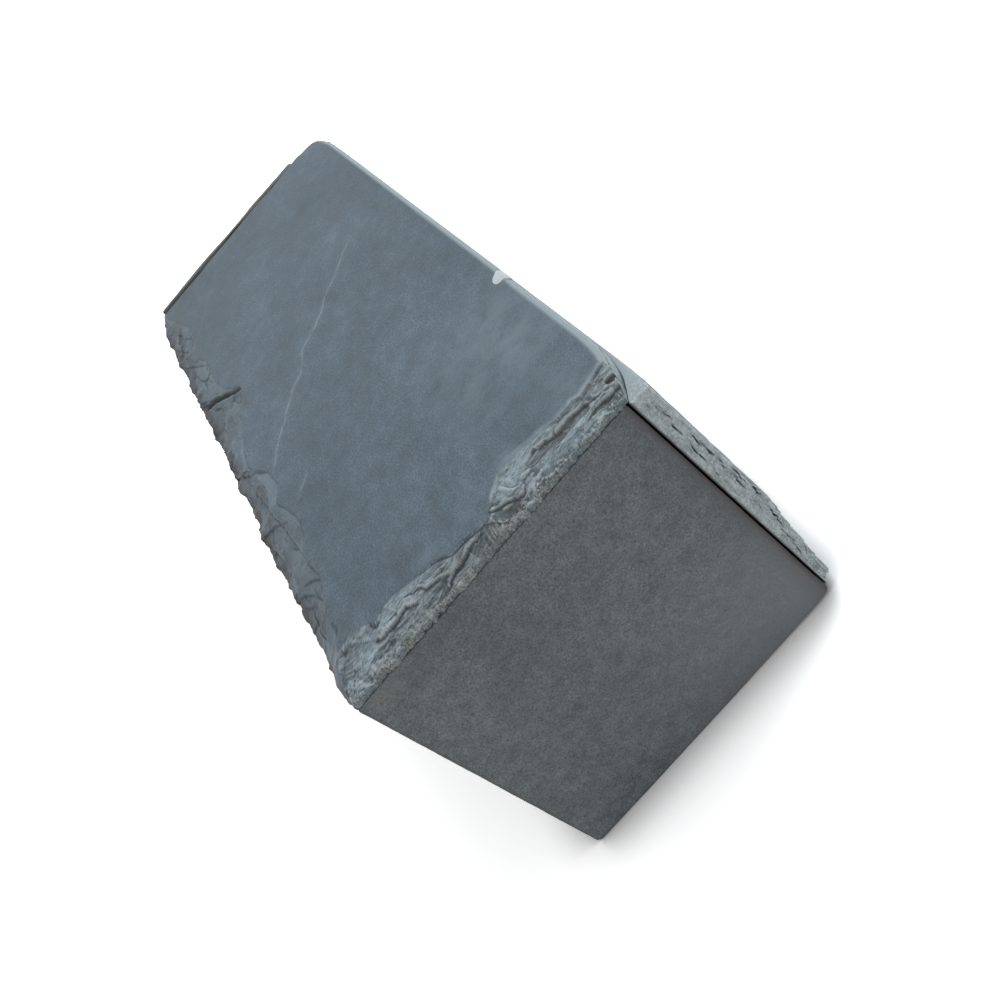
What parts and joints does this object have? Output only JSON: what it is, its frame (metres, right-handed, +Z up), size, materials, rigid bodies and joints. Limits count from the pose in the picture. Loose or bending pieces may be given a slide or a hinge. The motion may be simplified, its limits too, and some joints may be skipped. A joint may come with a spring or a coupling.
{
  "type": "slate box",
  "caption": "Long closed box put together from slabs of roofing slate, with the flaked, hand-dressed edges of the lid showing in front and along one side.",
  "frame": {"origin": "middle of the underside, on the surface the box stands on", "axes": "+Z up; +Y along the length, away from the square front slab; +X to the right when the front slab is looked at"},
  "size_m": [0.1148, 0.3068, 0.1085],
  "materials": {
    "slate_blue_grey": "riven face, lightly lustrous",
    "slate_dark_grey": "riven face, matt",
    "slate_pale_grey": "broken across the layers, matt",
    "slate_olive_grey": "broken across the layers, matt"
  },
  "bodies": {
    "root": {"top_slab": "slate_blue_grey", "front_slab": "slate_dark_grey", "right_side_slab": "slate_pale_grey", "back_slab": "slate_olive_grey", "left_side_slab": "slate_dark_grey", "base_slab": "slate_dark_grey"}
  },
  "joints": []
}
